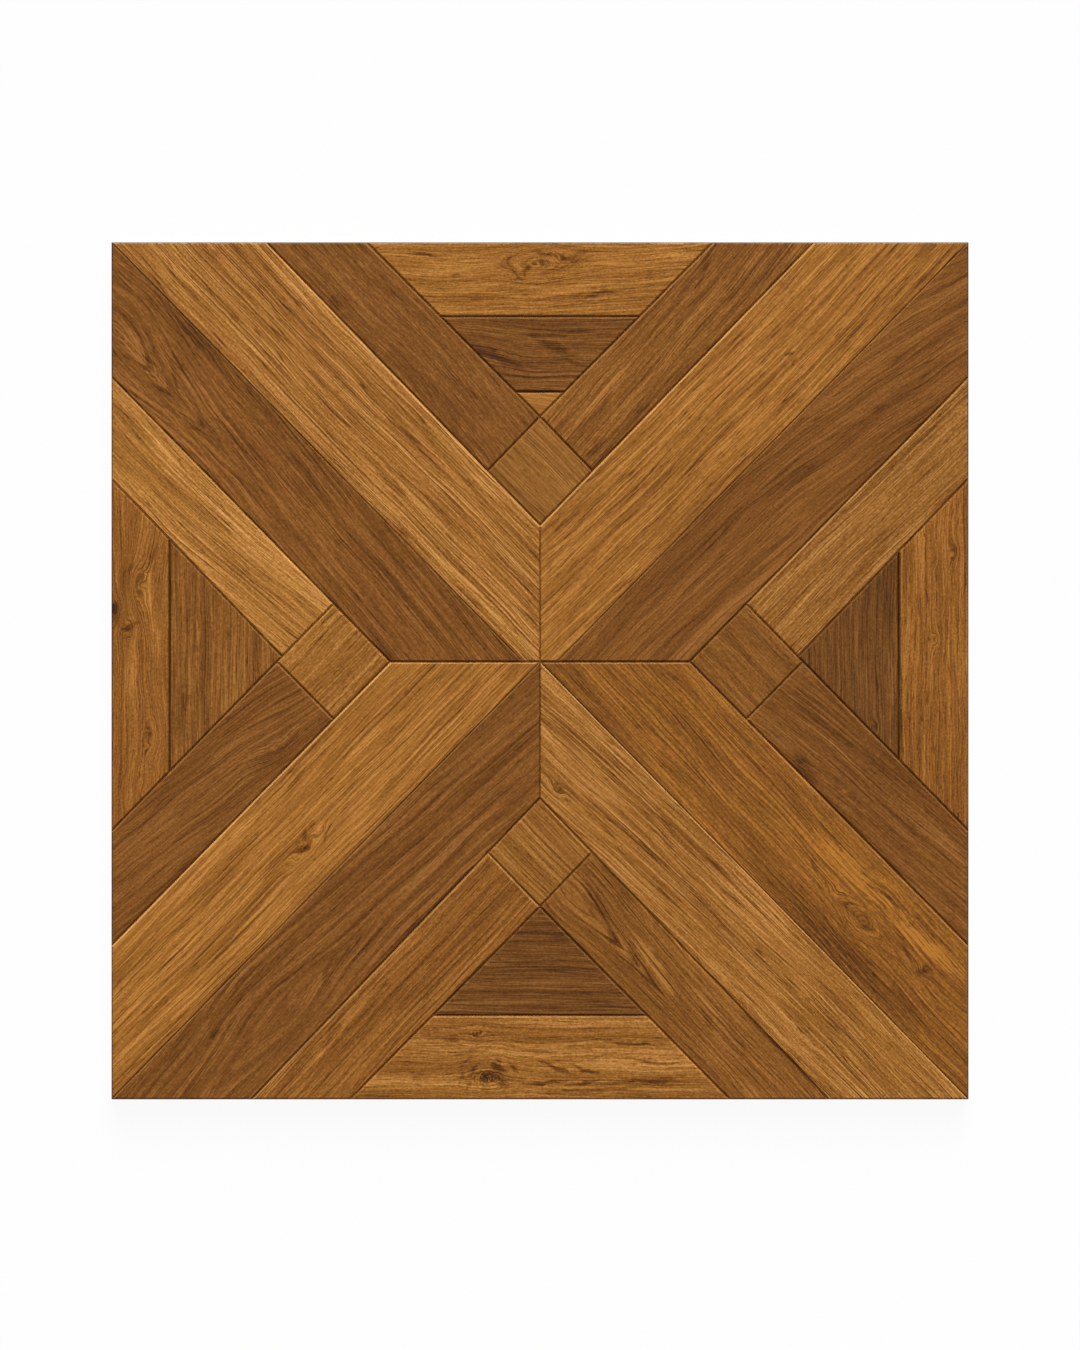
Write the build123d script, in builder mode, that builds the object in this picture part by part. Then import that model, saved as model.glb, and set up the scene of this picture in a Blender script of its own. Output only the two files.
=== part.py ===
"""Solid oak parquet panel: four mitred arms of staves, square blocks and field boards."""
import os
from itertools import combinations

from build123d import *

# Panel, lying face up with its underside on z = 0
panel_side = 600.0
panel_thickness = 16.0
edge_bevel = 1.4
mitre_bevel = 0.9

# The cross where the four arms meet, a little above the middle of the panel
cross_rise = 6.2
upper_mitre_offset = 11.8

# Square blocks stood on a corner, by their start from the cross and their diagonal
upright_block_start = 95.5
upright_block_diagonal = 75.9
level_block_start = 104.8
level_block_diagonal = 79.2

# Arm staves, by the run of panel edge that each one ends on
top_wide_run = 108.2
top_narrow_run = 70.3
upper_side_wide_run = 94.5
upper_side_narrow_run = 71.2
lower_side_wide_run = 107.5
lower_side_narrow_run = 80.1
bottom_wide_run = 98.1
bottom_narrow_run = 69.1

# The upper side narrow staves taper, and stop this far short of their blocks' outer tips
upper_narrow_stop = 5.0

# Field boards: widths along the panel edges, and the height of the small tip at the top
top_edge_width = 52.1
top_tip_height = 17.5
bottom_edge_width = 58.8
left_edge_width = 40.7
right_edge_width = 48.9

# Tongue and groove, in the middle third of the wood and stopped short of the corners
tongue_depth = 5.0
tongue_clearance = 0.2
tongue_thickness = panel_thickness / 3
tongue_setback = 3 * tongue_depth
joint_tolerance = 0.001

half_side = panel_side / 2
upright_block_end = upright_block_start + upright_block_diagonal
level_block_end = level_block_start + level_block_diagonal


def along(start, end, share):
    return start + (end - start) * share


class Marks:
    """Points where the joints meet, on one side of the panel's upright joint."""

    def __init__(self, sign):
        # Panel corners and the cross
        self.top_corner = Vector(sign * half_side, half_side)
        self.bottom_corner = Vector(sign * half_side, -half_side)
        self.cross = Vector(0, cross_rise)
        self.mitre_foot = Vector(sign * upper_mitre_offset, cross_rise)

        # Near and far corners of the blocks, on the lines of the cross
        self.top_near = Vector(0, cross_rise + upright_block_start)
        self.top_far = Vector(0, cross_rise + upright_block_end)
        self.bottom_near = Vector(0, cross_rise - upright_block_start)
        self.bottom_far = Vector(0, cross_rise - upright_block_end)
        self.side_near = Vector(sign * level_block_start, cross_rise)
        self.side_far = Vector(sign * level_block_end, cross_rise)

        # Panel edges, counted from the corners
        self.top_wide = self.top_corner - Vector(sign * top_wide_run, 0)
        self.top_narrow = self.top_wide - Vector(sign * top_narrow_run, 0)
        self.upper_wide = self.top_corner - Vector(0, upper_side_wide_run)
        self.upper_narrow = self.upper_wide - Vector(0, upper_side_narrow_run)
        self.lower_wide = self.bottom_corner + Vector(0, lower_side_wide_run)
        self.lower_narrow = self.lower_wide + Vector(0, lower_side_narrow_run)
        self.bottom_wide = self.bottom_corner - Vector(sign * bottom_wide_run, 0)
        self.bottom_narrow = self.bottom_wide - Vector(sign * bottom_narrow_run, 0)

        # Side corners of the blocks, level with their middles on the wide staves' joints
        half_upright = upright_block_diagonal / 2
        half_level = level_block_diagonal / 2
        top_share = half_upright / (self.top_wide - self.top_near).Y
        bottom_share = half_upright / (self.bottom_near - self.bottom_wide).Y
        upper_share = half_level / abs((self.upper_wide - self.side_near).X)
        lower_share = half_level / abs((self.lower_wide - self.side_near).X)
        self.top_block = along(self.top_near, self.top_wide, top_share)
        self.bottom_block = along(self.bottom_near, self.bottom_wide, bottom_share)
        self.upper_block = along(self.side_near, self.upper_wide, upper_share)
        self.lower_block = along(self.side_near, self.lower_wide, lower_share)

        # Inner corner of the tapered narrow stave, on the block's upper side
        block_side = (self.upper_block - self.side_far).length
        self.upper_stop = along(self.side_far, self.upper_block, upper_narrow_stop / block_side)


def arm_staves(side, at):
    """Outlines of the staves in the two arms on one side."""
    return {
        f"wide_stave_top_{side}": [at.top_corner, at.top_wide, at.top_near, at.cross, at.mitre_foot],
        f"wide_stave_{side}_top": [at.top_corner, at.mitre_foot, at.side_near, at.upper_wide],
        f"wide_stave_{side}_bottom": [at.bottom_corner, at.lower_wide, at.side_near, at.cross],
        f"wide_stave_bottom_{side}": [at.bottom_corner, at.cross, at.bottom_near, at.bottom_wide],
        f"narrow_stave_top_{side}": [at.top_wide, at.top_narrow, at.top_far, at.top_block],
        f"narrow_stave_{side}_top": [at.upper_wide, at.upper_block, at.upper_stop, at.upper_narrow],
        f"narrow_stave_{side}_bottom": [at.lower_wide, at.lower_narrow, at.side_far, at.lower_block],
        f"narrow_stave_bottom_{side}": [at.bottom_wide, at.bottom_block, at.bottom_far, at.bottom_narrow],
    }


def field_boards(edge, first, second, inner, joint_depths):
    """Outlines of the boards in one field, from the panel edge to its inner corners."""
    heading = (second - first).normalized()
    first_depth = heading.cross(inner[-1] - first).length
    second_depth = heading.cross(inner[0] - first).length
    first_ends = [first] + [along(first, inner[-1], joint / first_depth) for joint in joint_depths]
    second_ends = [second] + [along(second, inner[0], joint / second_depth) for joint in joint_depths]
    boards = {}
    for row in range(len(joint_depths)):
        corners = first_ends[row:row + 2] + second_ends[row:row + 2][::-1]
        boards[f"field_board_{edge}_{row + 1}"] = corners
    boards[f"field_board_{edge}_{len(first_ends)}"] = [first_ends[-1], second_ends[-1], *inner]
    return boards


def mitre_lines(at):
    """Lines along which the wide staves on one side are mitred to their neighbours."""
    return [
        Edge.make_line(at.top_corner, at.mitre_foot),
        Edge.make_line(at.bottom_corner, at.cross),
        Edge.make_line(at.top_near, at.cross),
        Edge.make_line(at.bottom_near, at.cross),
    ]


def is_mitred(edge):
    """Whether an upper edge of a stave lies over one of the mitre lines."""
    middle = edge.center()
    below = Vector(middle.X, middle.Y)
    return min(line.distance_to(below) for line in mitres) < joint_tolerance


def sides(corners):
    return zip(corners, corners[1:] + corners[:1])


def shared_run(first, second):
    """Ends of the straight line along which two outlines touch, if they do."""
    for start, end in sides(first):
        heading = (end - start).normalized()
        for other_start, other_end in sides(second):
            reach = [other_start - start, other_end - start]
            if max(heading.cross(leg).length for leg in reach) < joint_tolerance:
                low, high = sorted(heading.dot(leg) for leg in reach)
                low = max(low, 0)
                high = min(high, (end - start).length)
                if high - low > joint_tolerance:
                    return start + heading * low, start + heading * high
    return None


def tongue_joint(carrier, receiver):
    """Upright plane of a joint, facing the receiver, and the length of its stopped tongue."""
    run = shared_run(carrier, receiver)
    if run is None:
        return None
    start, end = run
    length = (end - start).length - 2 * tongue_setback
    if length < tongue_depth:
        return None
    heading = (end - start).normalized()
    facing = heading.rotate(Axis.Z, 90)
    if facing.dot(sum(carrier, Vector()) / len(carrier) - start) > 0:
        facing = -facing
    middle = along(start, end, 0.5) + Vector(0, 0, panel_thickness / 2)
    return Plane(middle, x_dir=heading, z_dir=facing), length


# Outlines of all the pieces, seen from above
left = Marks(-1)
right = Marks(1)
mitres = mitre_lines(left) + mitre_lines(right)
staves = arm_staves("left", left) | arm_staves("right", right)
top_joints = [top_edge_width, half_side - left.top_far.Y - top_tip_height]
staves |= field_boards("top", left.top_narrow, right.top_narrow, [left.top_far], top_joints)
bottom_joints = [bottom_edge_width]
staves |= field_boards("bottom", left.bottom_narrow, right.bottom_narrow, [left.bottom_far], bottom_joints)
left_inner = [left.side_far, left.upper_stop]
staves |= field_boards("left", left.upper_narrow, left.lower_narrow, left_inner, [left_edge_width])
right_inner = [right.side_far, right.upper_stop]
staves |= field_boards("right", right.upper_narrow, right.lower_narrow, right_inner, [right_edge_width])
staves["square_block_top"] = [left.top_near, left.top_block, left.top_far, right.top_block]
staves["square_block_bottom"] = [left.bottom_near, left.bottom_block, left.bottom_far, right.bottom_block]
staves["square_block_left"] = [left.side_near, left.upper_block, left.side_far, left.lower_block]
staves["square_block_right"] = [right.side_near, right.upper_block, right.side_far, right.lower_block]

# Of two pieces that meet, the one listed first carries the tongue
tongues = {name: [] for name in staves}
grooves = {name: [] for name in staves}
for carrier, receiver in combinations(staves, 2):
    joint = tongue_joint(staves[carrier], staves[receiver])
    if joint is not None:
        tongues[carrier].append(joint)
        grooves[receiver].append(joint)

os.makedirs("parts", exist_ok=True)
for name, corners in staves.items():
    with BuildPart() as stave:
        with BuildSketch():
            with BuildLine():
                Polyline(*corners, close=True)
            make_face()
        extrude(amount=panel_thickness)
        upper_edges = stave.faces().sort_by(Axis.Z)[-1].edges()
        chamfer(upper_edges.filter_by(is_mitred, reverse=True), length=edge_bevel)
        mitred_edges = stave.faces().sort_by(Axis.Z)[-1].edges().filter_by(is_mitred)
        if mitred_edges:
            chamfer(mitred_edges, length=mitre_bevel)

        # Tongues stand on the sides, with clearance all round in their grooves
        for joint_plane, length in tongues[name]:
            with BuildSketch(joint_plane):
                Rectangle(length, tongue_thickness)
            extrude(amount=tongue_depth)
        for joint_plane, length in grooves[name]:
            with BuildSketch(joint_plane):
                Rectangle(length + 2 * tongue_clearance, tongue_thickness + 2 * tongue_clearance)
            extrude(amount=tongue_depth + tongue_clearance, mode=Mode.SUBTRACT)
    stave.part.label = name
    export_step(stave.part, f"parts/{name}.step")
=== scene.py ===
import math

import bpy
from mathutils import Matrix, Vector


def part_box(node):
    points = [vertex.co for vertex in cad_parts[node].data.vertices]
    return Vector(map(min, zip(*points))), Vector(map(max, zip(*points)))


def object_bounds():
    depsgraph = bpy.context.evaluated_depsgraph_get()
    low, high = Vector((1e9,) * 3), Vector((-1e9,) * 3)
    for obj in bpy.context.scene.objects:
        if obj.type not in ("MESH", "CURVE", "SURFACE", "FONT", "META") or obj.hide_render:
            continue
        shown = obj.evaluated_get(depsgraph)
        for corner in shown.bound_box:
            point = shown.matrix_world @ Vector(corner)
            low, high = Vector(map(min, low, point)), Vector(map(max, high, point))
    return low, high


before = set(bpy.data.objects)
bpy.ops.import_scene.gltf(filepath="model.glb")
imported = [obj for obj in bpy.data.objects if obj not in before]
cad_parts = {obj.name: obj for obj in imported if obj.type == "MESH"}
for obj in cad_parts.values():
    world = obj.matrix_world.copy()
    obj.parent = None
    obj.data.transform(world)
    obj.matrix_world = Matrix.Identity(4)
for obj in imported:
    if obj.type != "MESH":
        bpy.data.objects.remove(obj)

cadBox = [list(corner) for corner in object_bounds()]
faceHeight = cadBox[1][2]  # the laid face of the panel, in metres
millimetre = 0.001
scene = bpy.context.scene
print("frame loaded:", len(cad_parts), "pieces of oak")


# node helpers

def feedSocket(tree, socket, value):
    if isinstance(value, bpy.types.NodeSocket):
        tree.links.new(value, socket)
    elif value is not None:
        socket.default_value = value


def addNode(tree, kind, *values, **settings):
    node = tree.nodes.new("ShaderNode" + kind)
    for name, setting in settings.items():
        setattr(node, name, setting)
    for socket, value in zip(node.inputs, values):
        feedSocket(tree, socket, value)
    return node


def calc(tree, operation, *values):
    return addNode(tree, "Math", *values, operation=operation).outputs[0]


def mapRange(tree, value, fromLow, fromHigh, toLow, toHigh):
    node = addNode(tree, "MapRange", value, fromLow, fromHigh, toLow, toHigh)
    node.interpolation_type = "SMOOTHSTEP"
    return node.outputs[0]


def mixColour(tree, share, first, second, blendType="MIX"):
    node = addNode(tree, "Mix", data_type="RGBA", blend_type=blendType)
    feedSocket(tree, node.inputs["Factor"], share)
    colours = [socket for socket in node.inputs if socket.type == "RGBA"]
    feedSocket(tree, colours[0], first)
    feedSocket(tree, colours[1], second)
    return next(socket for socket in node.outputs if socket.type == "RGBA")


def rampLevels(tree, value, levels):
    ramp = addNode(tree, "ValToRGB", value)
    stops = ramp.color_ramp.elements
    for position, level in levels[1:-1]:
        stops.new(position)
    for stop, (position, level) in zip(stops, levels):
        stop.position = position
        stop.color = (level, level, level, 1)
    return ramp.outputs[0]


def linearColour(colour, shade=1.0):
    # written as 0 to 255 screen values, handed to the shader as linear ones
    levels = []
    for level in colour:
        level = level * shade / 255
        levels.append(level / 12.92 if level <= 0.04045 else ((level + 0.055) / 1.055) ** 2.4)
    return (*levels, 1.0)


def newGroup(name, inputs, outputs):
    tree = bpy.data.node_groups.new(name, "ShaderNodeTree")
    for label, kind in inputs.items():
        tree.interface.new_socket(label, in_out="INPUT", socket_type="NodeSocket" + kind)
    for label, kind in outputs.items():
        tree.interface.new_socket(label, in_out="OUTPUT", socket_type="NodeSocket" + kind)
    entry = tree.nodes.new("NodeGroupInput")
    leave = tree.nodes.new("NodeGroupOutput")
    return tree, entry.outputs, leave.inputs


# camera straight above, framed as wide as the panel needs
overheadView = {
    "lens": 85,
    "sensor": 36,
    "seenHeight": 0.9446,  # metres of panel and floor from the top of the picture to its foot
    "aim": (0.0, -0.0029),
}


def addCamera(view):
    data = bpy.data.cameras.new("overheadCamera")
    data.lens = view["lens"]
    data.sensor_width = view["sensor"]
    camera = bpy.data.objects.new("overheadCamera", data)
    distance = view["seenHeight"] * view["lens"] / view["sensor"]
    camera.location = (*view["aim"], faceHeight + distance)
    scene.collection.objects.link(camera)
    scene.camera = camera


# soft light: an even sky, a broad lamp from the top of the picture and a low one that catches the bevels
studioLight = {
    "skyLevel": 0.26,
    "lamps": {
        "broadLamp": {"from": (0.08, 0.9, 0.62), "strength": 2.6, "spread": 45},
        "lowLamp": {"from": (0.05, 1.0, 0.4), "strength": 2.0, "spread": 25},
    },
}
whiteFloor = {
    "width": 6.0,
    "gap": 0.0003,  # keeps the floor just clear of the underside
    "colour": (242, 242, 242),
    "glow": 0.93,  # share of plain white that the camera sees; the rest keeps the shadow
}


def seenDirectly(tree):
    path = addNode(tree, "LightPath").outputs
    straight = calc(tree, "MAXIMUM", path["Is Camera Ray"], path["Is Glossy Ray"])
    return calc(tree, "MAXIMUM", straight, path["Is Transmission Ray"])


def addLight(light):
    world = bpy.data.worlds.new("paleStudio")
    world.use_nodes = True
    scene.world = world
    tree = world.node_tree
    sky = tree.nodes["Background"]
    sky.inputs["Color"].default_value = (1, 1, 1, 1)
    level = addNode(tree, "MapRange", seenDirectly(tree), 0.0, 1.0, light["skyLevel"], 1.0)
    tree.links.new(level.outputs[0], sky.inputs["Strength"])
    for name, lamp in light["lamps"].items():
        data = bpy.data.lights.new(name, "SUN")
        data.energy = lamp["strength"]
        data.angle = math.radians(lamp["spread"])
        bulb = bpy.data.objects.new(name, data)
        bulb.rotation_mode = "QUATERNION"
        bulb.rotation_quaternion = (-Vector(lamp["from"])).to_track_quat("-Z", "Y")
        scene.collection.objects.link(bulb)


def addFloor(floor):
    half = floor["width"] / 2
    mesh = bpy.data.meshes.new("paleFloor")
    corners = [(-half, -half), (half, -half), (half, half), (-half, half)]
    mesh.from_pydata([(x, y, cadBox[0][2] - floor["gap"]) for x, y in corners], [], [(0, 1, 2, 3)])
    plate = bpy.data.objects.new("paleFloor", mesh)
    scene.collection.objects.link(plate)
    material = bpy.data.materials.new("paleFloor")
    material.use_nodes = True
    tree = material.node_tree
    tree.nodes.clear()
    paint = addNode(tree, "BsdfDiffuse", linearColour(floor["colour"]))
    white = addNode(tree, "Emission", (1, 1, 1, 1), 1.0)
    glow = calc(tree, "MULTIPLY", seenDirectly(tree), floor["glow"])
    mixed = addNode(tree, "MixShader", glow, paint.outputs[0], white.outputs[0])
    addNode(tree, "OutputMaterial", mixed.outputs[0])
    mesh.materials.append(material)


addCamera(overheadView)
addLight(studioLight)
addFloor(whiteFloor)
print("camera, light and floor placed")


# oak figure: growth rings round the heart of the tree, with fibres and pores drawn out along the grain
grainPatterns = {
    # mm along the grain, mm across it, detail, and a shift that keeps each apart from the others
    "sway": (130, 40, 1.0, 3.1),
    "ripple": (24, 8, 2.0, 7.7),
    "flame": (75, 24, 1.0, 2.2),
    "comeAndGo": (150, 9, 1.0, 5.3),
    "streaks": (65, 2.6, 2.0, 9.1),
    "bands": (190, 14, 1.0, 4.4),
    "warmth": (60, 6, 1.0, 11.9),
    "fibres": (42, 0.9, 1.0, 1.3),
    "threads": (85, 3.2, 1.0, 12.4),
    "breaks": (35, 5, 1.0, 14.8),
    "pores": (8, 0.65, 0.0, 8.2),
    "grit": (1.8, 1.3, 1.0, 15.6),
    "flecks": (9, 0.9, 0.0, 6.6),
}
patternCuts = {
    # noise levels at which a pattern begins and is at its full strength
    "comeAndGo": (0.36, 0.66),
    "fibres": (0.34, 0.66),
    "breaks": (0.42, 0.6),
    "pores": (0.6, 0.74),
    "flecks": (0.62, 0.76),
}
poreDepth = 0.5  # of the height of a fibre
threadWidth = 0.038  # in noise levels, either side of a thread's middle
swayShare = 4.0  # the slow sway is so many times the ripple
ringShape = {
    "profile": [(0.0, 0.15), (0.1, 0.0), (0.22, 0.35), (0.5, 0.75), (0.85, 0.7), (1.0, 0.15)],
    "spacing": 0.6,  # how soon the width changes from ring to ring
    "uneven": 2.4,
    "fade": (0.25, 1.25),  # dark lines come and go between these strengths
    "roundEyes": 0.45,  # rings show more round a knot
}
knotShape = {"wobble": 0.16, "core": 0.35, "halo": 0.35}


def grainNoise(tree, place, length, width, detail, shift):
    # patches about length by width mm, shifted unevenly so that no two patterns line up
    drawn = addNode(tree, "Mapping", place, (shift, shift * 1.7, shift * 0.6))
    drawn.inputs["Scale"].default_value = (1 / length, 1 / width, 1 / width)
    noise = addNode(tree, "TexNoise", drawn.outputs[0], None, 1.0, detail, 0.55)
    return noise.outputs[0]


def grainPattern(tree, place, name):
    return grainNoise(tree, place, *grainPatterns[name])


def cutPattern(tree, place, name, weakest=0.0, strongest=1.0):
    return mapRange(tree, grainPattern(tree, place, name), *patternCuts[name], weakest, strongest)


def addShare(tree, total, pattern, strength):
    centred = calc(tree, "SUBTRACT", pattern, 0.5)
    return calc(tree, "MULTIPLY_ADD", centred, strength, total)


def raggedPlace(tree, place, scale, reach):
    noise = addNode(tree, "TexNoise", place, None, scale, 2.0, 0.5).outputs[1]
    shake = addNode(tree, "VectorMath", noise, (0.5, 0.5, 0.5), operation="SUBTRACT").outputs[0]
    shake = addNode(tree, "VectorMath", shake, operation="SCALE")
    feedSocket(tree, shake.inputs["Scale"], reach)
    return addNode(tree, "VectorMath", place, shake.outputs[0], operation="ADD").outputs[0]


def makeKnotGroup():
    # fibres part on either side of a knot and close round it as an eye
    tree, given, out = newGroup(
        "oakKnot",
        {"Grain": "Vector", "Place": "Vector", "Size": "Float", "Stretch": "Float",
         "Part": "Float", "Lift": "Float", "Dark": "Float"},
        {"Grain": "Vector", "Eye": "Float", "Dark": "Float"})
    ragged = raggedPlace(tree, given["Grain"], knotShape["wobble"], given["Size"])
    near = addNode(tree, "VectorMath", ragged, given["Place"], operation="SUBTRACT").outputs[0]
    apart = addNode(tree, "SeparateXYZ", near).outputs
    steady = addNode(tree, "SeparateXYZ", given["Grain"]).outputs
    alongSize = calc(tree, "MULTIPLY", given["Size"], given["Stretch"])
    alongShare = calc(tree, "DIVIDE", apart["X"], alongSize)
    acrossShare = calc(tree, "DIVIDE", apart["Y"], given["Size"])
    alongSquare = calc(tree, "MULTIPLY", alongShare, alongShare)
    reach = calc(tree, "MULTIPLY_ADD", acrossShare, acrossShare, alongSquare)
    eye = calc(tree, "EXPONENT", calc(tree, "MULTIPLY", reach, -1.0))
    pull = calc(tree, "MULTIPLY", calc(tree, "MULTIPLY", apart["Y"], eye), given["Part"])
    across = calc(tree, "SUBTRACT", steady["Y"], pull)
    across = calc(tree, "MULTIPLY_ADD", eye, given["Lift"], across)
    parted = addNode(tree, "CombineXYZ", steady["X"], across, steady["Z"]).outputs[0]
    core = mapRange(tree, reach, 0.0, knotShape["core"], 1.0, 0.0)
    halo = calc(tree, "MULTIPLY_ADD", eye, knotShape["halo"], core)
    tree.links.new(parted, out["Grain"])
    tree.links.new(eye, out["Eye"])
    tree.links.new(calc(tree, "MULTIPLY", halo, given["Dark"]), out["Dark"])
    return tree


def makeStrokeGroup():
    # a soft streak where the wood runs darker, or lighter for a depth below nothing
    vectors = {label: "Vector" for label in ("Spot", "At", "Turn", "Reach")}
    tree, given, out = newGroup("oakStroke", {**vectors, "Depth": "Float"}, {"Dark": "Float"})
    near = addNode(tree, "Mapping", given["Spot"], given["At"], given["Turn"], given["Reach"],
                   vector_type="TEXTURE").outputs[0]
    away = addNode(tree, "VectorMath", near, operation="LENGTH").outputs["Value"]
    share = mapRange(tree, away, 0.2, 1.0, 1.0, 0.0)
    tree.links.new(calc(tree, "MULTIPLY", share, given["Depth"]), out["Dark"])
    return tree


def makeFigureGroup():
    strengths = ["Lines", "Threads", "Fibres", "Streaks", "Bands", "Pores", "Flecks", "Grit"]
    shapes = ["Eye", "Bend", "Tilt", "Reach", "Point", "Ring Width", "Wander", "Flame", "Follow"]
    inputs = {"Grain": "Vector", "Seed": "Vector", "Heart": "Vector"}
    inputs.update({label: "Float" for label in shapes + strengths})
    tree, given, out = newGroup("oakFigure", inputs, {"Tone": "Float", "Warmth": "Float", "Relief": "Float"})
    place = addNode(tree, "VectorMath", given["Grain"], given["Seed"], operation="ADD").outputs[0]
    apart = addNode(tree, "SeparateXYZ", given["Grain"]).outputs

    # lines bow along the stave, sway slowly, ripple and lick up into flames
    alongSquare = calc(tree, "MULTIPLY", apart["X"], apart["X"])
    across = calc(tree, "SUBTRACT", apart["Y"], calc(tree, "MULTIPLY", alongSquare, given["Bend"]))
    sway = grainPattern(tree, place, "sway")
    across = addShare(tree, across, sway, calc(tree, "MULTIPLY", given["Wander"], swayShare))
    across = addShare(tree, across, grainPattern(tree, place, "ripple"), given["Wander"])
    across = addShare(tree, across, grainPattern(tree, place, "flame"), given["Flame"])
    line = addNode(tree, "CombineXYZ", apart["X"], across, apart["Z"]).outputs[0]

    # distance to the heart of the tree, which dips away from its place in the face and then levels out
    fromHeart = addNode(tree, "VectorMath", line, given["Heart"], operation="SUBTRACT").outputs[0]
    fromHeart = addNode(tree, "SeparateXYZ", fromHeart).outputs
    dip = calc(tree, "DIVIDE", calc(tree, "MULTIPLY", fromHeart["X"], given["Tilt"]), given["Reach"])
    depth = calc(tree, "MULTIPLY_ADD", calc(tree, "TANH", dip), given["Reach"], fromHeart["Z"])
    sidePart = calc(tree, "POWER", calc(tree, "ABSOLUTE", fromHeart["Y"]), given["Point"])
    depthPart = calc(tree, "POWER", calc(tree, "ABSOLUTE", depth), given["Point"])
    root = calc(tree, "DIVIDE", 1.0, given["Point"])
    radius = calc(tree, "POWER", calc(tree, "ADD", sidePart, depthPart), root)

    # rings of uneven width, each with one dark line that comes and goes
    count = calc(tree, "DIVIDE", radius, given["Ring Width"])
    seedMark = addNode(tree, "SeparateXYZ", given["Seed"]).outputs["X"]
    spread = calc(tree, "MULTIPLY_ADD", count, ringShape["spacing"], seedMark)
    uneven = addNode(tree, "TexNoise", None, spread, noise_dimensions="1D").outputs[0]
    phase = calc(tree, "FRACT", addShare(tree, count, uneven, ringShape["uneven"]))
    rings = rampLevels(tree, phase, ringShape["profile"])
    comeAndGo = cutPattern(tree, place, "comeAndGo", *ringShape["fade"])
    ringShare = calc(tree, "MULTIPLY", comeAndGo, given["Lines"])
    ringShare = calc(tree, "MULTIPLY_ADD", given["Eye"], ringShape["roundEyes"], ringShare)

    # streaks and bands run with the lines, or round the heart where the figure arches
    arch = addNode(tree, "CombineXYZ", apart["X"], radius, apart["Z"]).outputs[0]
    flow = addNode(tree, "Mix", given["Follow"], data_type="VECTOR")
    feedSocket(tree, flow.inputs[4], line)
    feedSocket(tree, flow.inputs[5], arch)
    flow = addNode(tree, "VectorMath", flow.outputs[1], given["Seed"], operation="ADD").outputs[0]
    streaks = grainPattern(tree, flow, "streaks")
    bands = grainPattern(tree, flow, "bands")
    warmth = grainPattern(tree, flow, "warmth")

    # fine lines: fibres, thin dark threads, pores and pale flecks
    line = addNode(tree, "VectorMath", line, given["Seed"], operation="ADD").outputs[0]
    fibres = cutPattern(tree, line, "fibres")
    crest = calc(tree, "SUBTRACT", grainPattern(tree, line, "threads"), 0.5)
    threads = mapRange(tree, calc(tree, "ABSOLUTE", crest), 0.0, threadWidth, 1.0, 0.0)
    broken = cutPattern(tree, line, "breaks")
    threads = calc(tree, "MULTIPLY", threads, broken)
    pores = cutPattern(tree, line, "pores")
    grit = grainPattern(tree, place, "grit")
    flecks = cutPattern(tree, line, "flecks")

    tone = addShare(tree, 0.5, rings, ringShare)
    tone = addShare(tree, tone, fibres, given["Fibres"])
    tone = addShare(tree, tone, streaks, given["Streaks"])
    tone = addShare(tree, tone, bands, given["Bands"])
    tone = addShare(tree, tone, grit, given["Grit"])
    tone = calc(tree, "SUBTRACT", tone, calc(tree, "MULTIPLY", threads, given["Threads"]))
    tone = calc(tree, "SUBTRACT", tone, calc(tree, "MULTIPLY", pores, given["Pores"]))
    tone = calc(tree, "MULTIPLY_ADD", flecks, given["Flecks"], tone)
    relief = calc(tree, "SUBTRACT", fibres, calc(tree, "MULTIPLY", pores, poreDepth))
    tree.links.new(tone, out["Tone"])
    tree.links.new(warmth, out["Warmth"])
    tree.links.new(relief, out["Relief"])
    return tree


knotGroup = makeKnotGroup()
strokeGroup = makeStrokeGroup()
figureGroup = makeFigureGroup()

# stains as 0 to 255 screen values: knots and pores, dark lines, body of the wood, bright fibres
oakStains = {
    "pale": [(58, 33, 13), (116, 70, 27), (171, 115, 49), (224, 163, 92)],
    "golden": [(52, 29, 11), (102, 59, 19), (158, 102, 40), (212, 148, 74)],
    "honey": [(48, 27, 11), (93, 54, 17), (138, 86, 32), (190, 124, 48)],
    "light": [(52, 29, 11), (102, 59, 19), (157, 102, 41), (213, 152, 83)],
    "mid": [(48, 27, 11), (93, 54, 17), (138, 86, 33), (184, 124, 58)],
    "dark": [(46, 26, 11), (85, 49, 16), (124, 76, 29), (162, 107, 52)],
}
rawOak = [(104, 76, 46), (136, 102, 64), (174, 136, 92), (202, 167, 122)]  # unstained sides and underside
rawShades = (0.9, 1.04, 0.96, 1.1, 1.0)  # taken in turn, so that the raw staves differ too
oakFinishAndBevelLight = {
    "bevel": 1.4,  # mm, as cut on the staves
    "jointShade": 0.8,  # painted shade: how much darker the foot of the bevels is made, where shade falls in the joints
    "highlightOak": (245, 195, 124),  # pale colour of the painted highlight on bevels that face the lamps
    "stainRun": 0.9,  # mm that stain runs down the sides
    "runShade": 0.45,  # how dark it dries there
    "golden": (0.97, 1.01, 0.90),  # the stain takes warmer in some streaks than in others
    "reddish": (1.03, 0.985, 1.10),
    "roughness": (0.62, 0.46),
    "specular": 0.1,
    "relief": 0.0001,  # metres
    "reliefStrength": 0.45,
    "brushMarks": (28, 0.8, 1.0),  # mm along the grain, mm across it and detail
    "brushShift": 1.9,  # from stave to stave
    "strokeWobble": (0.11, 7.0),  # how closely strokes waver, and by how many mm
    "strokeBody": 100.0,  # mm that they go down, right through the wood
    "darkOnFibres": (-0.6, 1.35),  # what a fibre adds to a dark stroke, and its strength between fibres
    "lightOnFibres": (0.8, 0.5),
}
seedSteps = (613.0, 271.0, 97.0)  # mm along, across and up from one stave's place in the tree to the next
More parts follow.
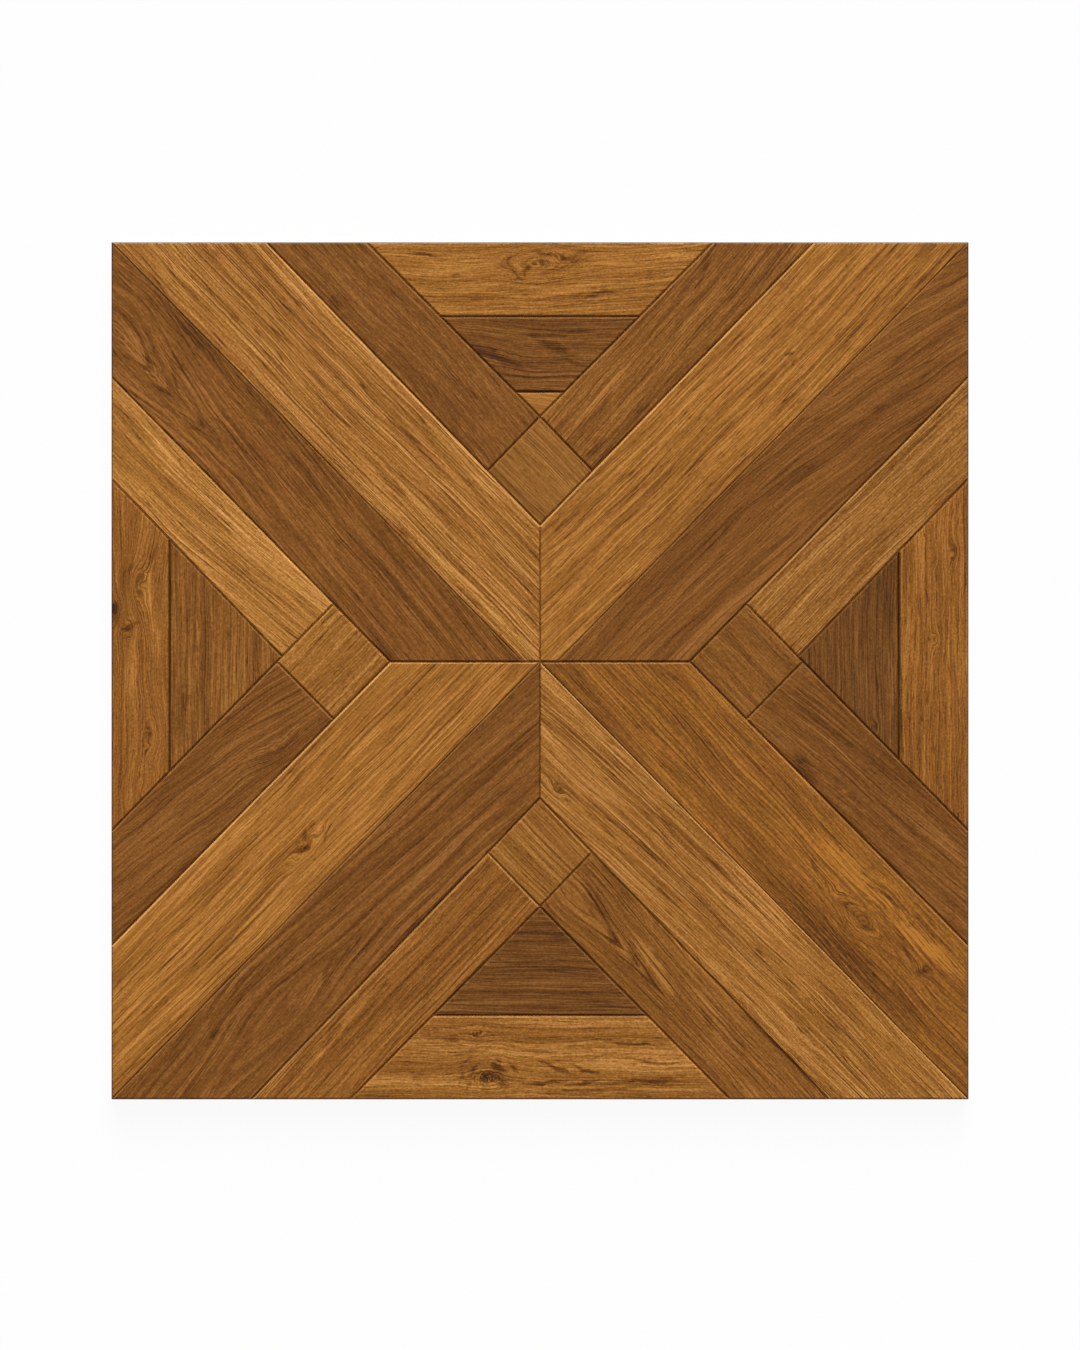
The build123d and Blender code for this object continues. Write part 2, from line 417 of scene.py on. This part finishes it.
bendRun = 100.0  # mm in which the grain turns by a stave's bend
plainStave = {
    "stain": "light", "shade": 1.0, "seed": 1,
    "slant": 0.0,  # degrees off the stave's own line
    "bend": 0.0,  # degrees that the grain turns in bendRun
    "heart": None,  # panel point in mm where the heart of the tree comes up to the face
    "tilt": 0.0, "reach": 20.0, "ringWidth": 4.5, "wander": 1.5, "flame": 3.0, "follow": 0.0,
    "point": 1.4,  # 2 makes the arches round, 1 pointed
    "lines": 0.45, "threads": 0.25, "fibres": 0.29, "streaks": 0.85, "bands": 0.5,
    "pores": 0.25, "flecks": 0.0, "grit": 0.75,
    # bevels that face the top of the panel: depth in mm, then the strength of their painted highlight and of
    # the painted shade at their foot, each for the slanting joints and for the level ones
    "bevel": 1.4, "highlights": (0.03, 0.0), "footShade": (0.25, 0.25),
    "knots": [], "strokes": [],
}
# painted shade at the foot of the bevels, by the way they face: 0 faces the bottom of the panel, away from
# the lamps, 0.5 its sides and 1 its top, towards them
shadeByFacing = [(0.0, 0.28), (0.1, 0.28), (0.2, 0.2), (0.45, 0.85), (0.55, 0.85), (0.8, 0.0)]
farHeart = (0, 70, -30)  # mm along, across and up from the stave's middle, where the heart isn't in the face


def toneColours(tree, tone, colours, shade):
    share = addNode(tree, "MapRange", tone, -0.5, 1.0, 0.0, 1.0).outputs[0]
    ramp = addNode(tree, "ValToRGB", share)
    stops = ramp.color_ramp.elements
    steps = len(colours) - 1
    for step in range(1, steps):
        stops.new(step / steps)
    for step, colour in enumerate(colours):
        stops[step].position = step / steps
        stops[step].color = linearColour(colour, shade)
    return ramp.outputs[0]


def towardsTop(tree, facing, slanting, square):
    # nothing on bevels that face the sides, one strength on slanting joints and one on level joints
    return rampLevels(tree, facing, [(0.55, 0.0), (0.8, slanting), (0.86, slanting), (0.95, square)])


def bevelLightAndStainRun(tree, height, stave, finishAndLight):
    # painted shade at the foot of the bevels, least on those that face the lamps, and a painted highlight on
    # those that face the top of the panel; the stain also dries darker where it runs down the sides
    depth = stave["bevel"]
    normal = addNode(tree, "NewGeometry").outputs["True Normal"]
    facing = addNode(tree, "SeparateXYZ", normal).outputs["Y"]
    facing = addNode(tree, "MapRange", facing, -0.75, 0.75, 0.0, 1.0).outputs[0]
    facingShade = rampLevels(tree, facing, shadeByFacing)
    highlightShare = towardsTop(tree, facing, *stave["highlights"])
    upFootShare = towardsTop(tree, facing, *stave["footShade"])
    # painted shade, deepest at the foot of the bevels
    footShade = mapRange(tree, height, -0.8 * finishAndLight["bevel"], -0.1, finishAndLight["jointShade"], 0.0)
    shade = calc(tree, "SUBTRACT", 1.0, calc(tree, "MULTIPLY", footShade, facingShade))
    # more painted shade at the foot of bevels that face the top of the panel
    upFootShade = mapRange(tree, height, -depth, -0.2 * depth, 1.0, 0.0)
    shade = calc(tree, "SUBTRACT", shade, calc(tree, "MULTIPLY", upFootShade, upFootShare))
    foot = -finishAndLight["bevel"]
    run = mapRange(tree, height, foot - finishAndLight["stainRun"], foot, finishAndLight["runShade"], 1.0)
    shade = calc(tree, "MULTIPLY", shade, run)
    # painted highlight on the upper part of the bevels that face the top of the panel
    clear = mapRange(tree, height, -depth, -0.75 * depth, 0.0, 1.0)
    onBevel = calc(tree, "LESS_THAN", height, -0.02)
    bevelHighlight = calc(tree, "MULTIPLY", calc(tree, "MULTIPLY", clear, highlightShare), onBevel)
    return shade, bevelHighlight


def addGroup(tree, group, settings):
    node = tree.nodes.new("ShaderNodeGroup")
    node.node_tree = group
    for label, value in settings.items():
        feedSocket(tree, node.inputs[label], value)
    return node.outputs


def oakMaterial(node, grain, stave):
    # grain is the way the fibres run, in degrees from the panel's lower edge
    low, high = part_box(node)
    centre = Vector(((low.x + high.x) / 2, (low.y + high.y) / 2, faceHeight))
    turn = math.radians(grain + stave["slant"])
    material = bpy.data.materials.new("oak_" + node)
    material.use_nodes = True
    tree = material.node_tree
    tree.nodes.clear()

    def onGrain(at):
        # a panel point as mm along and across the grain from the stave's middle
        away = Vector((*at, 0)) - centre / millimetre
        return (away.x * math.cos(turn) + away.y * math.sin(turn),
                away.y * math.cos(turn) - away.x * math.sin(turn), 0)

    # millimetres along the grain, across it and up from the face
    spot = addNode(tree, "TexCoord").outputs["Object"]
    place = addNode(tree, "Mapping", spot, centre, (0, 0, turn), (millimetre,) * 3,
                    vector_type="TEXTURE").outputs[0]
    brushed = grainNoise(tree, place, *oakFinishAndBevelLight["brushMarks"], stave["seed"] * oakFinishAndBevelLight["brushShift"])
    height = addNode(tree, "SeparateXYZ", place).outputs["Z"]
    ragged = raggedPlace(tree, place, *oakFinishAndBevelLight["strokeWobble"]) if stave["strokes"] else None
    eye = 0.0
    dark = 0.0
    for mark in stave["knots"]:
        settings = {label.capitalize(): value for label, value in mark.items() if label != "at"}
        outputs = addGroup(tree, knotGroup, {**settings, "Grain": place, "Place": onGrain(mark["at"])})
        place = outputs["Grain"]
        eye = calc(tree, "ADD", outputs["Eye"], eye)
        dark = calc(tree, "ADD", outputs["Dark"], dark)

    settings = {
        "Grain": place, "Eye": eye, "Ring Width": stave["ringWidth"],
        "Seed": [stave["seed"] * step for step in seedSteps],
        "Heart": onGrain(stave["heart"]) if stave["heart"] else farHeart,
        "Bend": math.radians(stave["bend"]) / (2 * bendRun),
    }
    for label in ("tilt", "reach", "point", "wander", "flame", "follow", "lines", "threads", "fibres",
                  "streaks", "bands", "pores", "flecks", "grit"):
        settings[label.capitalize()] = stave[label]
    figure = addGroup(tree, figureGroup, settings)

    # dark strokes show most between the bright fibres, light ones on them
    darkStrokes = 0.0
    lightStrokes = 0.0
    for mark in stave["strokes"]:
        settings = {
            "Spot": ragged, "At": onGrain(mark["at"]), "Depth": mark["depth"],
            "Turn": (0, 0, math.radians(mark["angle"]) - turn),
            "Reach": (mark["length"] / 2, mark["width"] / 2, oakFinishAndBevelLight["strokeBody"]),
        }
        drawn = addGroup(tree, strokeGroup, settings)["Dark"]
        if mark["depth"] > 0:
            darkStrokes = calc(tree, "ADD", drawn, darkStrokes)
        else:
            lightStrokes = calc(tree, "ADD", drawn, lightStrokes)
    between = calc(tree, "MULTIPLY_ADD", figure["Relief"], *oakFinishAndBevelLight["darkOnFibres"])
    upon = calc(tree, "MULTIPLY_ADD", figure["Relief"], *oakFinishAndBevelLight["lightOnFibres"])
    tone = calc(tree, "SUBTRACT", figure["Tone"], dark)
    tone = calc(tree, "SUBTRACT", tone, calc(tree, "MULTIPLY", darkStrokes, between))
    tone = calc(tree, "SUBTRACT", tone, calc(tree, "MULTIPLY", lightStrokes, upon))

    # stained face, with painted shade in the joints and painted highlights on the bevels, raw wood below
    stained = toneColours(tree, tone, oakStains[stave["stain"]], stave["shade"])
    tint = mixColour(tree, figure["Warmth"], (*oakFinishAndBevelLight["golden"], 1), (*oakFinishAndBevelLight["reddish"], 1))
    stained = mixColour(tree, 1.0, stained, tint, "MULTIPLY")
    shade, bevelHighlight = bevelLightAndStainRun(tree, height, stave, oakFinishAndBevelLight)
    stained = mixColour(tree, 1.0, stained, shade, "MULTIPLY")
    # painted highlight on the bevels that face the lamps
    stained = mixColour(tree, bevelHighlight, stained, linearColour(oakFinishAndBevelLight["highlightOak"]))
    raw = toneColours(tree, tone, rawOak, rawShades[stave["seed"] % len(rawShades)])
    foot = -oakFinishAndBevelLight["bevel"]
    finished = mapRange(tree, height, foot - oakFinishAndBevelLight["stainRun"], foot, 0.0, 1.0)
    colour = mixColour(tree, finished, raw, stained)

    roughness = addNode(tree, "MapRange", figure["Relief"], 0.0, 1.0, *oakFinishAndBevelLight["roughness"])
    bump = addNode(tree, "Bump")
    bump.inputs["Strength"].default_value = oakFinishAndBevelLight["reliefStrength"]
    bump.inputs["Distance"].default_value = oakFinishAndBevelLight["relief"]
    feedSocket(tree, bump.inputs["Height"], brushed)
    shader = addNode(tree, "BsdfPrincipled")
    feedSocket(tree, shader.inputs["Base Color"], colour)
    feedSocket(tree, shader.inputs["Roughness"], roughness.outputs[0])
    feedSocket(tree, shader.inputs["Normal"], bump.outputs[0])
    shader.inputs["Specular IOR Level"].default_value = oakFinishAndBevelLight["specular"]
    addNode(tree, "OutputMaterial", shader.outputs[0])
    return material


def finishStave(node, grain, changes):
    stave = {**plainStave, **changes}
    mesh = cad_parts[node].data
    mesh.materials.clear()
    mesh.materials.append(oakMaterial(node, grain, stave))


falling = -45.5  # top left and bottom right arms
rising = 45.5  # top right and bottom left arms
level = 0.0
upright = 90.0


def knot(at, size, stretch, lift, dark=0.0, part=0.6):
    # at is a panel point in mm, size half its width; lift is how far the lines swell round it
    return {"at": at, "size": size, "stretch": stretch, "lift": lift, "dark": dark, "part": part}


def stroke(at, length, width, angle, depth):
    # at is the stroke's middle, a panel point in mm; a depth below nothing makes it light
    return {"at": at, "length": length, "width": width, "angle": angle, "depth": depth}


# top left arm
wideTopLeft = {
    "stain": "light", "shade": 1.02, "seed": 1, "slant": -0.4, "bend": 0.5, "ringWidth": 2.6,
    "highlights": (0.25, 0.0), "footShade": (0.0, 0.85), "streaks": 0.6, "bands": 0.25,
    "lines": 0.8, "threads": 0.45, "fibres": 0.38, "strokes": [stroke((-38, 128), 50, 10, -45, -0.25)],
}
wideLeftTop = {
    "stain": "dark", "shade": 1.03, "seed": 2, "slant": -4.0, "bend": -1.0, "flame": 4.0,
    "bevel": 0.9, "highlights": (0.05, 0.0), "footShade": (0.4, 0.4),
    "heart": (-295, 239), "tilt": 0.36, "reach": 28, "ringWidth": 5.6, "follow": 1.0,
    "lines": 0.65, "bands": 0.7,
    "strokes": [
        stroke((-255, 249), 150, 26, -46, 0.28), stroke((-190, 186), 90, 18, -46, 0.2),
        stroke((-200, 147), 90, 18, -50, 0.22), stroke((-253, 214), 26, 13, -50, 0.2),
        stroke((-276, 219), 26, 4, -41, 0.3), stroke((-270, 221), 20, 4, -74, 0.25),
        stroke((-262, 196), 22, 5, -33, 0.35), stroke((-255, 202), 24, 4, -80, 0.3),
        stroke((-243, 170), 20, 5, -32, 0.25), stroke((-237, 175), 20, 4, -74, 0.2),
        stroke((-283, 225), 60, 18, -58, -0.4), stroke((-266, 203), 22, 9, -56, -0.25),
        stroke((-243, 150), 70, 10, -50, -0.22)],
}
narrowTopLeft = {
    "stain": "dark", "seed": 3, "slant": -1.9, "bend": -4.2, "flame": 5.0,
    "highlights": (0.04, 0.0), "footShade": (0.1, 0.85), "flecks": 0.3, "lines": 0.2, "streaks": 0.7, "strokes": [
        stroke((-142, 258), 20, 12, -40, 0.3), stroke((-122, 224), 46, 17, -50, 0.2),
        stroke((-49, 193), 70, 17, -48, 0.16)],
}
narrowLeftTop = {
    "stain": "pale", "shade": 1.03, "seed": 4, "slant": 3.0, "bend": 5.0, "ringWidth": 2.6,
    "highlights": (0.14, 0.0), "footShade": (0.0, 0.0), "threads": 0.4, "fibres": 0.32, "streaks": 0.5,
    "lines": 0.6, "bands": 0.8, "strokes": [stroke((-266, 157), 64, 5, -50, -0.2)],
}
finishStave("wide_stave_top_left", falling, wideTopLeft)
finishStave("wide_stave_left_top", falling, wideLeftTop)
finishStave("narrow_stave_top_left", falling, narrowTopLeft)
finishStave("narrow_stave_left_top", falling, narrowLeftTop)

# top right arm
wideTopRight = {
    "stain": "golden", "shade": 1.02, "seed": 5, "slant": -0.3, "bend": 1.2, "threads": 0.4, "grit": 0.5,
    "highlights": (0.3, 0.0), "footShade": (0.0, 0.85), "fibres": 0.34, "streaks": 0.7,
    "lines": 0.3, "strokes": [stroke((174, 221), 9, 4, 20, 0.5), stroke((178, 217), 9, 4, 60, 0.3)],
}
wideRightTop = {
    "stain": "dark", "shade": 1.02, "seed": 6, "slant": -6.0, "bend": -5.0, "flame": 10.0,
    "bevel": 0.9, "highlights": (0.08, 0.0), "footShade": (0.4, 0.4),
    "fibres": 0.26, "streaks": 0.7, "bands": 0.8, "strokes": [
        stroke((259, 178), 70, 34, 35, 0.15), stroke((236, 184), 26, 6, 15, 0.2),
        stroke((262, 213), 90, 5, 24, 0.25), stroke((268, 216), 90, 5, 24, -0.25),
        stroke((150, 150), 90, 10, 33, -0.12), stroke((185, 140), 60, 16, 40, 0.1)],
}
narrowTopRight = {
    "stain": "mid", "shade": 0.98, "seed": 7, "slant": 3.4, "bend": 1.9, "flame": 6.0,
    "highlights": (0.12, 0.0), "footShade": (0.0, 0.85),
    "strokes": [
        stroke((45, 194), 90, 14, 46, -0.26), stroke((38, 156), 30, 9, 46, 0.4),
        stroke((114, 278), 34, 5, 64, 0.3), stroke((137, 270), 44, 14, 62, 0.2)],
}
narrowRightTop = {
    "stain": "light", "shade": 0.96, "seed": 8, "slant": -1.3, "bend": -1.3,
    "highlights": (0.17, 0.0), "footShade": (0.0, 0.0), "streaks": 0.42, "threads": 0.3, "fibres": 0.32,
}
finishStave("wide_stave_top_right", rising, wideTopRight)
finishStave("wide_stave_right_top", rising, wideRightTop)
finishStave("narrow_stave_top_right", rising, narrowTopRight)
finishStave("narrow_stave_right_top", rising, narrowRightTop)

# bottom left arm
wideLeftBottom = {
    "stain": "golden", "shade": 1.02, "seed": 9, "slant": -0.2, "threads": 0.3, "fibres": 0.28, "grit": 0.5,
    "highlights": (0.35, 0.07), "footShade": (0.0, 0.0), "ringWidth": 3.6, "lines": 0.55, "streaks": 0.75,
    "knots": [
        knot((-164, -124), 5, 1.3, 7, dark=0.32), knot((-154, -113), 4, 2.0, 4),
        knot((-171, -132), 4, 2.0, 4)],
    "strokes": [
        stroke((-165, -115), 13, 5, 80, 0.3), stroke((-167, -125), 18, 5, 42, 0.22),
        stroke((-149, -113), 26, 4, 68, 0.25), stroke((-164, -112), 22, 12, 50, 0.12),
        stroke((-156, -111), 20, 5, 50, -0.25)],
}
wideBottomLeft = {
    "stain": "dark", "shade": 1.01, "seed": 10, "slant": -1.0, "bend": -3.0, "flame": 7.0,
    "bevel": 0.9, "highlights": (0.1, 0.0), "footShade": (0.4, 0.4), "fibres": 0.16, "streaks": 0.6,
    "heart": (-182, -240), "tilt": 0.25, "reach": 16, "ringWidth": 6.0, "follow": 1.0, "lines": 0.8,
    "strokes": [
        stroke((-228, -253), 13, 7, 50, 0.3), stroke((-160, -222), 60, 12, 45, -0.25),
        stroke((-149, -209), 34, 5, 62, 0.3), stroke((-153, -201), 30, 5, 34, 0.25),
        stroke((-200, -215), 110, 16, 44, 0.15), stroke((-87, -173), 18, 4, 62, 0.3)],
}
narrowLeftBottom = {
    "stain": "dark", "shade": 1.01, "seed": 11, "slant": -9.4, "bend": -2.6, "flame": 12.0,
    "highlights": (0.07, 0.0), "footShade": (0.0, 0.0), "fibres": 0.22, "streaks": 0.55,
    "knots": [knot((-183, -54), 8, 2.5, 4, part=0.3)],
    "strokes": [stroke((-184, -58), 60, 22, 42, 0.22), stroke((-218, -52), 80, 8, 38, -0.14)],
}
narrowBottomLeft = {
    "stain": "mid", "shade": 1.03, "seed": 12, "slant": 1.7, "lines": 0.55, "threads": 0.3,
    "highlights": (0.16, 0.0), "footShade": (0.0, 0.0), "fibres": 0.24, "bands": 0.65,
    "strokes": [stroke((-145, -253), 44, 8, 60, 0.25), stroke((-154, -268), 12, 4, 45, -0.3)],
}
finishStave("wide_stave_left_bottom", rising, wideLeftBottom)
finishStave("wide_stave_bottom_left", rising, wideBottomLeft)
finishStave("narrow_stave_left_bottom", rising, narrowLeftBottom)
finishStave("narrow_stave_bottom_left", rising, narrowBottomLeft)

# bottom right arm
wideRightBottom = {
    "stain": "honey", "shade": 0.98, "seed": 13, "slant": -1.5, "flame": 7.0,
    "highlights": (0.08, 0.05), "footShade": (0.0, 0.0), "fibres": 0.34, "lines": 0.6,
    "heart": (227, -174), "tilt": 0.7, "reach": 11, "point": 1.7, "ringWidth": 2.8, "follow": 1.0,
    "knots": [knot((207, -156), 5, 1.5, 3, part=0.3), knot((269, -210), 4, 1.2, 3, dark=0.3)],
    "strokes": [
        stroke((215, -138), 130, 20, -43, -0.5), stroke((272, -195), 84, 16, -38, -0.55),
        stroke((211, -196), 230, 32, -45, 0.34), stroke((240, -166), 12, 5, -60, 0.3),
        stroke((227, -181), 16, 6, -20, 0.35), stroke((192, -136), 12, 4, -70, 0.35),
        stroke((216, -166), 30, 16, -50, 0.2), stroke((262, -173), 90, 4, -42, 0.25),
        stroke((254, -192), 40, 5, -62, 0.3), stroke((268, -210), 18, 9, 40, 0.3)],
}
wideBottomRight = {
    "stain": "light", "seed": 14, "slant": 1.5, "bend": -1.1, "ringWidth": 2.4, "lines": 0.75,
    "bevel": 0.9, "highlights": (0.25, 0.0), "footShade": (0.3, 0.3), "threads": 0.45, "fibres": 0.34, "streaks": 0.6,
    "knots": [knot((11.5, -82.7), 4, 1.5, 4), knot((172, -254), 8, 3.0, 3, part=0.0)],
}
narrowRightBottom = {
    "stain": "dark", "shade": 0.99, "seed": 15, "slant": 6.1, "bend": -2.1, "flame": 7.0,
    "highlights": (0.04, 0.0), "footShade": (0.1, 0.1), "bands": 0.8, "strokes": [
        stroke((185, -66), 40, 14, -48, 0.28), stroke((181, -62), 12, 6, -60, 0.2),
        stroke((215, -62), 110, 9, -43, -0.18), stroke((214, -84), 10, 4, 0, -0.25)],
}
narrowBottomRight = {
    "stain": "mid", "shade": 0.96, "seed": 16, "slant": -2.0, "flame": 4.0,
    "highlights": (0.02, 0.0), "footShade": (0.1, 0.1), "fibres": 0.15,
    "heart": (22, -157), "tilt": 0.24, "reach": 14, "ringWidth": 5.0, "follow": 1.0, "lines": 0.8,
    "strokes": [
        stroke((51, -186), 18, 8, -60, 0.35), stroke((66, -200), 20, 7, -50, 0.35),
        stroke((40, -165), 50, 14, -62, 0.22), stroke((118, -232), 60, 8, -46, -0.2),
        stroke((80, -206), 70, 14, -55, -0.5), stroke((175, -269), 120, 20, -43, 0.25),
        stroke((58, -152), 60, 9, -47, 0.25), stroke((118, -245), 30, 6, -65, 0.25)],
}
finishStave("wide_stave_right_bottom", falling, wideRightBottom)
finishStave("wide_stave_bottom_right", falling, wideBottomRight)
finishStave("narrow_stave_right_bottom", falling, narrowRightBottom)
finishStave("narrow_stave_bottom_right", falling, narrowBottomRight)
print("arms finished")

# fields, from the panel edge inwards
fieldTop1 = {
    "stain": "golden", "seed": 17, "slant": 1.5, "bend": 2.6, "flame": 5.0,
    "footShade": (0.25, 0.85), "fibres": 0.25, "bands": 0.15,
    "heart": (-4, 285), "tilt": 0.55, "reach": 12, "point": 1.9, "ringWidth": 3.2, "follow": 1.0,
    "knots": [knot((-4, 285), 11, 1.7, 0, part=0), knot((0, 286), 3.5, 1.6, 0, dark=0.25),
              knot((17, 288), 3, 2.2, 4, dark=0.2)],
    "strokes": [
        stroke((-9, 281), 12, 7, 50, 0.5), stroke((2, 292), 26, 5, -4, 0.35),
        stroke((-21, 286), 15, 4, 85, 0.35), stroke((-16, 277), 15, 4, -45, 0.35),
        stroke((8, 280), 24, 4, 16, 0.25), stroke((19, 289), 16, 4, -28, 0.35),
        stroke((28, 291), 22, 4, 14, 0.25), stroke((42, 264), 60, 6, 9, 0.32),
        stroke((-80, 291), 34, 4, -8, 0.35), stroke((-4, 272), 30, 8, -2, -0.2)],
}
fieldTop2 = {
    "stain": "dark", "shade": 0.98, "seed": 18, "slant": -2.6, "bend": 5.0, "flame": 7.0,
    "highlights": (0.03, 0.07), "lines": 0.5, "fibres": 0.24,
    "knots": [knot((-44, 229), 14, 2.2, -2, part=0), knot((-10, 211), 14, 2.2, 2, part=0)],
    "strokes": [
        stroke((-32, 221), 66, 10, -27, 0.45), stroke((10, 226), 42, 10, -28, 0.4),
        stroke((21, 236), 96, 7, 3, 0.3), stroke((2, 195), 44, 8, 0, 0.3),
        stroke((23, 216), 34, 5, -12, 0.3), stroke((-6, 236), 20, 8, 10, 0.2)],
}
fieldTop3 = {
    "stain": "light", "shade": 1.04, "seed": 19, "slant": -9.0, "footShade": (0.25, 0.6),
    "streaks": 0.5, "fibres": 0.12, "lines": 0.15, "threads": 0.1, "pores": 0.1, "grit": 0.2,
}
fieldBottom1 = {
    "stain": "light", "seed": 20, "slant": -1.0, "flame": 5.0, "wander": 2.2,
    "ringWidth": 3.4, "highlights": (0.03, 0.08), "threads": 0.2, "fibres": 0.12, "streaks": 0.7, "bands": 0.9,
    "knots": [
        knot((-37.5, -284), 4, 1.1, 0, dark=0.42, part=0), knot((-43, -254), 3.0, 1.5, 0, dark=0.3, part=0),
        knot((-28.5, -273), 4, 1.3, 0, part=0.8), knot((-37, -284), 10, 1.5, -2, part=0.85),
        knot((-43, -254), 6, 1.6, 0, part=0.8)],
    "strokes": [
        # pale ring, crescents and darker wood round the knot
        stroke((-38, -279.5), 12, 4, 0, -0.3), stroke((-43.5, -285), 9, 4, 80, -0.25),
        stroke((-32, -287), 10, 4, 40, -0.25),
        stroke((-29, -277.5), 18, 6, -26, 0.6), stroke((-46, -278), 14, 5, 36, 0.45),
        stroke((-25, -289.5), 12, 6, -30, 0.4), stroke((-19, -277), 18, 4, -62, 0.3),
        stroke((-38, -293), 12, 4, -4, 0.35), stroke((-50, -290), 10, 4, 65, 0.35),
        stroke((-55, -284), 16, 3, 88, 0.25), stroke((-52, -273), 16, 3, 42, 0.25),
        stroke((-36, -282), 60, 32, -6, 0.14),
        # lines that bow over it, and the points to its right
        stroke((-52, -267), 50, 4, 9, 0.25), stroke((-8, -265), 50, 4, -9, 0.22),
        stroke((-60, -260), 28, 4, -14, 0.3), stroke((-84, -284), 20, 9, 0, 0.15),
        stroke((11, -277.5), 32, 4.5, -22, 0.5), stroke((2, -288.5), 48, 4.5, 8, 0.45),
        stroke((33, -279), 28, 4.5, -18, 0.5), stroke((30, -288), 34, 4.5, 9, 0.4),
        # long streaks
        stroke((76, -287), 64, 6, 0, 0.45), stroke((80, -274), 60, 5, -4, 0.4),
        stroke((60, -260), 80, 4, -5, 0.3), stroke((40, -293), 90, 4, 3, 0.3)],
}
fieldBottom2 = {
    "stain": "dark", "shade": 0.89, "seed": 21, "slant": -1.1, "ringWidth": 6.0,
    "footShade": (0.5, 0.5), "fibres": 0.38, "lines": 0.6,
}
fieldLeft1 = {
    "stain": "mid", "shade": 1.05, "seed": 22, "flame": 13.0, "wander": 4.0, "ringWidth": 3.4,
    "footShade": (0.5, 0.5), "fibres": 0.2, "streaks": 0.5, "lines": 0.4, "grit": 0.8,
    "knots": [
        knot((-298, 44), 6, 1.6, 8, dark=0.5), knot((-287, 30), 5, 1.6, 6, dark=0.12),
        knot((-281, 62), 7, 2.0, -6), knot((-272, -46), 6, 2.4, 4)],
    "strokes": [
        stroke((-296, 40), 26, 10, 90, 0.25), stroke((-286, 31), 18, 6, 40, 0.3),
        stroke((-291, 62), 34, 11, 82, 0.2), stroke((-288, 72), 16, 4, 55, 0.25),
        stroke((-276, -50), 40, 6, 80, 0.3), stroke((-273, 8), 26, 5, 98, 0.2),
        stroke((-274, 54), 50, 12, 86, -0.25), stroke((-268, 24), 44, 10, 92, -0.22),
        stroke((-287, -4), 50, 9, 92, -0.2), stroke((-270, 82), 24, 7, 75, 0.15)],
}
fieldLeft2 = {
    "stain": "mid", "shade": 0.95, "seed": 23, "slant": -0.6, "footShade": (0.5, 0.5),
    "strokes": [
        stroke((-240, 20), 90, 4, 90, -0.22), stroke((-245, -19), 10, 5, 60, 0.3),
        stroke((-252, -30), 60, 12, 90, 0.12)],
}
fieldRight1 = {
    "stain": "mid", "shade": 1.05, "seed": 24, "flame": 6.0, "pores": 0.35,
    "knots": [
        knot((290, 84.5), 3.5, 2.0, 4, dark=0.12), knot((276, 80), 3.5, 2.0, 4, dark=0.12),
        knot((277, 22), 3.5, 2.0, 4, dark=0.12)],
}
fieldRight2 = {
    "stain": "dark", "shade": 0.87, "seed": 25, "slant": -0.3, "bend": -2.0, "streaks": 1.05, "bands": 0.8,
    "knots": [knot((235, -39), 2.5, 2.0, 3, dark=0.25)],
    "strokes": [stroke((245, 0), 140, 14, 90, -0.14), stroke((236, -20), 70, 5, 88, 0.25)],
}
finishStave("field_board_top_1", level, fieldTop1)
finishStave("field_board_top_2", level, fieldTop2)
finishStave("field_board_top_3", level, fieldTop3)
finishStave("field_board_bottom_1", level, fieldBottom1)
finishStave("field_board_bottom_2", level, fieldBottom2)
finishStave("field_board_left_1", upright, fieldLeft1)
finishStave("field_board_left_2", upright, fieldLeft2)
finishStave("field_board_right_1", upright, fieldRight1)
finishStave("field_board_right_2", upright, fieldRight2)
print("fields finished")

# square blocks
blockTop = {
    "stain": "light", "shade": 0.935, "seed": 26,
    "fibres": 0.25, "streaks": 0.35, "lines": 0.35, "grit": 0.4,
}
blockBottom = {"stain": "golden", "shade": 0.92, "seed": 27, "fibres": 0.19, "streaks": 0.75}
blockLeft = {"stain": "light", "shade": 1.01, "seed": 28, "fibres": 0.17, "streaks": 0.4}
blockRight = {"stain": "mid", "shade": 0.94, "seed": 29, "fibres": 0.15, "streaks": 0.5, "bands": 0.8}
finishStave("square_block_top", falling, blockTop)
finishStave("square_block_bottom", falling, blockBottom)
finishStave("square_block_left", rising, blockLeft)
finishStave("square_block_right", falling, blockRight)
print("blocks finished")

scene.view_settings.view_transform = "Standard"
